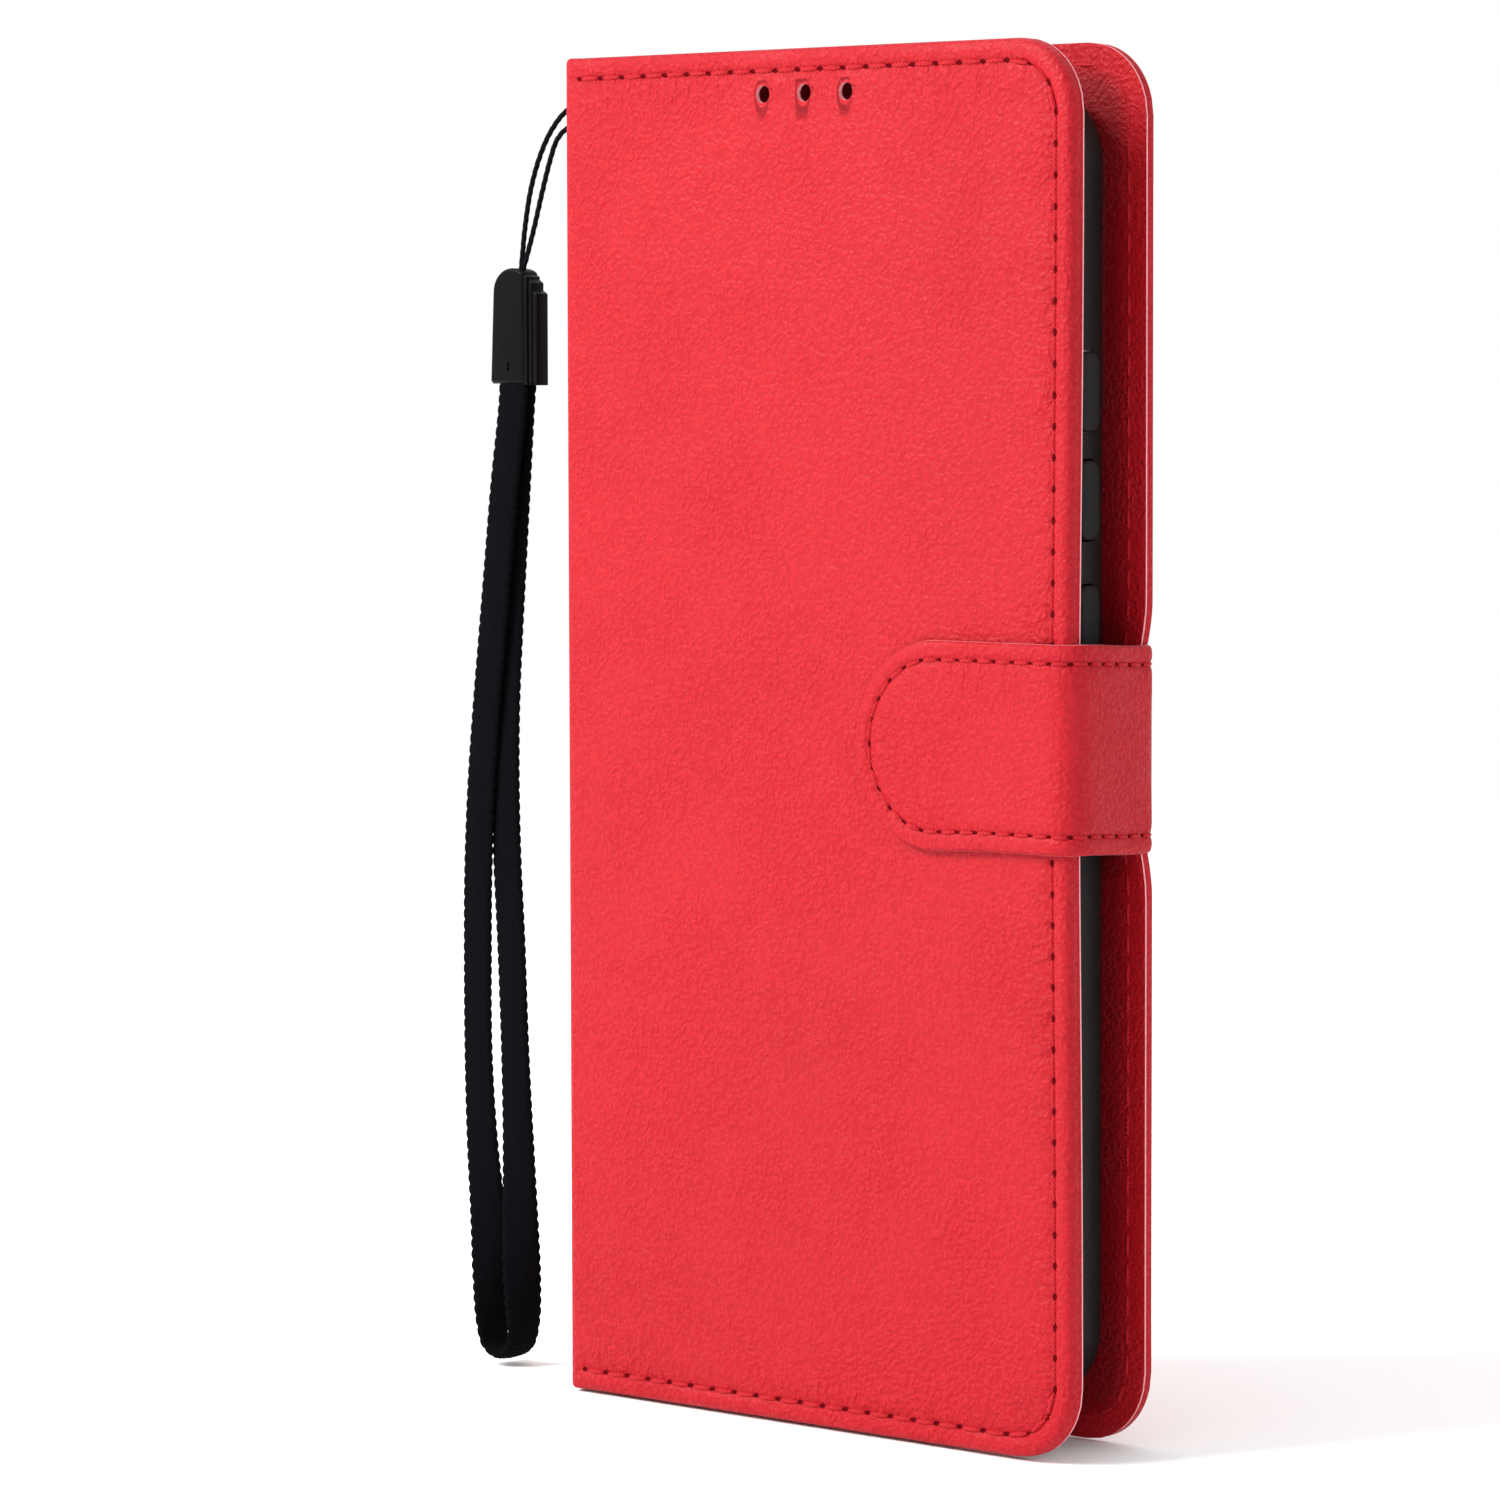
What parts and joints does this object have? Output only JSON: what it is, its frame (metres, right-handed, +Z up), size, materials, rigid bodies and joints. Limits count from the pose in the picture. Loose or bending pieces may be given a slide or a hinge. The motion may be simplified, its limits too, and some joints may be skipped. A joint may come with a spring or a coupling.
{
  "type": "phone wallet case",
  "caption": "Book-style leather wallet case for a phone, closed by a wrap-round magnetic clasp strap, with a moulded phone shell inside and a braided wrist strap.",
  "frame": {"origin": "bottom centre of the closed, clasped case, without the wrist strap", "axes": "+Z up along the length of the case, +X from the spine to the opening edge, -Y out of the front cover"},
  "size_m": [0.1125, 0.0204, 0.17],
  "materials": {
    "outer_leather": "satin pebbled calf grain",
    "pocket_leather": "satin",
    "lining": "smooth satin",
    "board": "matt",
    "thread": "matt twisted thread",
    "steel": "satin",
    "magnet": "bright nickel plating",
    "adhesive": "matt foam tape",
    "shell": "satin soft plastic",
    "keys": "satin soft plastic",
    "cord": "matt",
    "webbing": "matt diagonal braid",
    "crimp": "satin moulded plastic"
  },
  "bodies": {
    "back_cover": {"back_skin": "outer_leather", "back_board": "board", "back_lining": "lining", "back_stitching": "thread", "adhesive_pad": "adhesive", "phone_shell": "shell", "clasp_base_skin": "outer_leather", "clasp_base_lining": "lining", "clasp_base_stitching": "thread"},
    "spine": {"spine_skin": "outer_leather", "spine_lining": "lining", "lanyard_cord": "cord", "lanyard_crimp": "crimp", "lanyard_webbing": "webbing"},
    "front_cover": {"front_skin": "outer_leather", "front_board": "board", "front_lining": "lining", "front_stitching": "thread", "cash_pocket": "pocket_leather", "card_pocket_low": "pocket_leather", "card_pocket_middle": "pocket_leather", "card_pocket_high": "pocket_leather", "keeper_plate": "steel"},
    "clasp_bridge": {"clasp_bridge_skin": "outer_leather", "clasp_bridge_lining": "lining"},
    "clasp_tip": {"clasp_tip_skin": "outer_leather", "clasp_tip_lining": "lining", "clasp_tip_stitching": "thread", "clasp_magnet": "magnet"},
    "volume_up": {"volume_up_key": "keys"},
    "volume_down": {"volume_down_key": "keys"},
    "power": {"power_key": "keys"}
  },
  "joints": [
    {"name": "spine_hinge", "type": "hinge", "parent": "back_cover", "child": "spine", "pos_m": [-0.04165, 0.0082, 0], "axis": [0, 0, -1], "range_deg": [0, 175]},
    {"name": "cover_hinge", "type": "hinge", "parent": "spine", "child": "front_cover", "pos_m": [-0.0413, -0.00755, 0], "axis": [0, 0, -1], "range_deg": [0, 175]},
    {"name": "clasp_base_fold", "type": "hinge", "parent": "back_cover", "child": "clasp_bridge", "pos_m": [0.03985, 0.0096, 0], "axis": [0, 0, 1], "range_deg": [0, 150]},
    {"name": "clasp_tip_fold", "type": "hinge", "parent": "clasp_bridge", "child": "clasp_tip", "pos_m": [0.04195, -0.0096, 0], "axis": [0, 0, 1], "range_deg": [0, 120]},
    {"name": "volume_up_press", "type": "slide", "parent": "back_cover", "child": "volume_up", "axis": [-1, 0, 0], "range_m": [0, 0.0004], "stiffness_N_per_m": 400},
    {"name": "volume_down_press", "type": "slide", "parent": "back_cover", "child": "volume_down", "axis": [-1, 0, 0], "range_m": [0, 0.0004], "stiffness_N_per_m": 400},
    {"name": "power_press", "type": "slide", "parent": "back_cover", "child": "power", "axis": [-1, 0, 0], "range_m": [0, 0.0004], "stiffness_N_per_m": 400}
  ]
}
